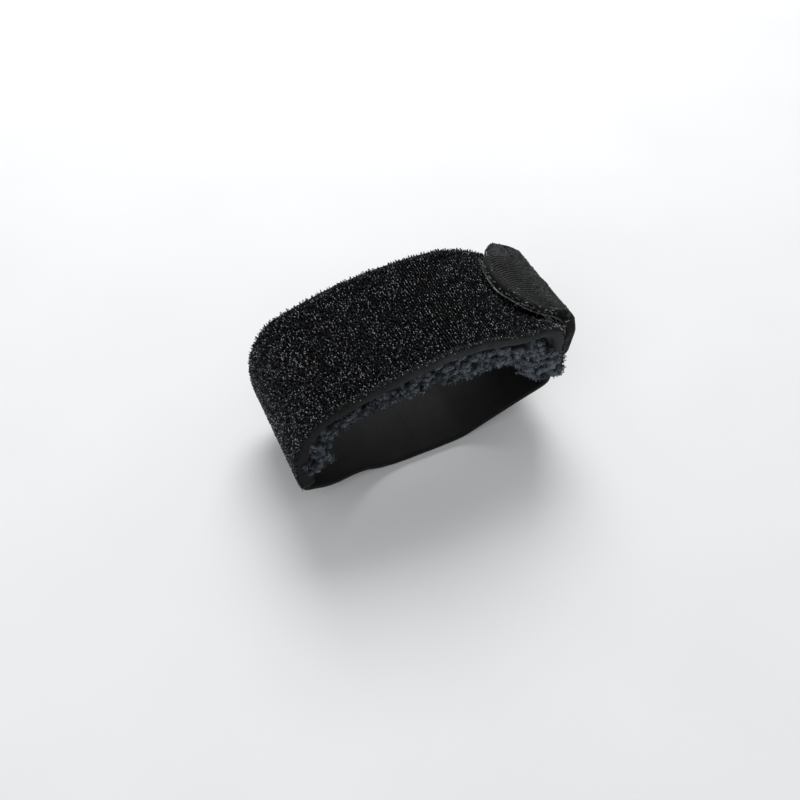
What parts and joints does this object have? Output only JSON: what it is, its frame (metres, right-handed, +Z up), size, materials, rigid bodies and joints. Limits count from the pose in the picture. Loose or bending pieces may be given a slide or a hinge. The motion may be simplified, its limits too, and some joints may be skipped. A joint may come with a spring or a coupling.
{
  "type": "guitar string mute wrap",
  "caption": "Soft padded wrap that closes round a guitar neck with a hook-and-loop tab and damps the strings with a fleece pad.",
  "frame": {"origin": "middle of the wrap on its resting surface, under the strap that passes below the neck", "axes": "+X across the neck to the treble side, +Y along the neck to the headstock, +Z up off the fretboard"},
  "size_m": [0.0611, 0.0264, 0.0375],
  "materials": {
    "loop_pile": "black looped pile with fine glints",
    "foam": "matte foam filler",
    "knit": "fine matte knit",
    "binding": "smooth charcoal edge",
    "fleece": "slate blue-grey curly fleece",
    "thread": "polyester sewing thread",
    "elastic": "ribbed woven elastic",
    "woven_face": "dark grey herringbone tape",
    "hook_tape": "stiff woven nylon ground",
    "hooks": "nylon monofilament hooks",
    "selvedge": "pale woven edge"
  },
  "bodies": {
    "strap": {"under_strap": "elastic"},
    "pad": {"pile_facing": "loop_pile", "foam_core": "foam", "band_lining": "knit", "edge_binding_near": "binding", "edge_binding_far": "binding", "fleece_carrier": "knit", "fleece_pad": "fleece", "pad_seam_near": "thread", "pad_seam_far": "thread", "pad_end_binding": "binding", "strap_tongue": "elastic", "strap_bar_tack": "thread"},
    "side_wall": {"side_elastic": "elastic", "tab_side_face": "woven_face", "tab_side_core": "foam", "hook_tape_side": "hook_tape", "hook_field_side": "hooks", "tab_side_stitching": "thread", "tab_bar_tack": "thread", "tab_fold": "woven_face"},
    "tab": {"tab_face": "woven_face", "tab_core": "foam", "hook_tape_tip": "hook_tape", "hook_field_tip": "hooks", "hook_selvedge": "selvedge", "tab_stitching": "thread"}
  },
  "joints": [
    {"name": "side_open", "type": "hinge", "parent": "strap", "child": "side_wall", "pos_m": [0.0292, 0, 0.0098], "axis": [0, 1, 0], "range_deg": [0, 80]},
    {"name": "pad_open", "type": "hinge", "parent": "strap", "child": "pad", "pos_m": [-0.0278, 0, 0.0079], "axis": [0, -1, 0], "range_deg": [0, 48]},
    {"name": "tab_peel", "type": "hinge", "parent": "side_wall", "child": "tab", "pos_m": [0.0292, 0, 0.0322], "axis": [0, 1, 0], "range_deg": [0, 150]}
  ],
  "couplings": [
    {"joint": "pad_open", "follows": "side_open", "ratio": 0.6}
  ]
}
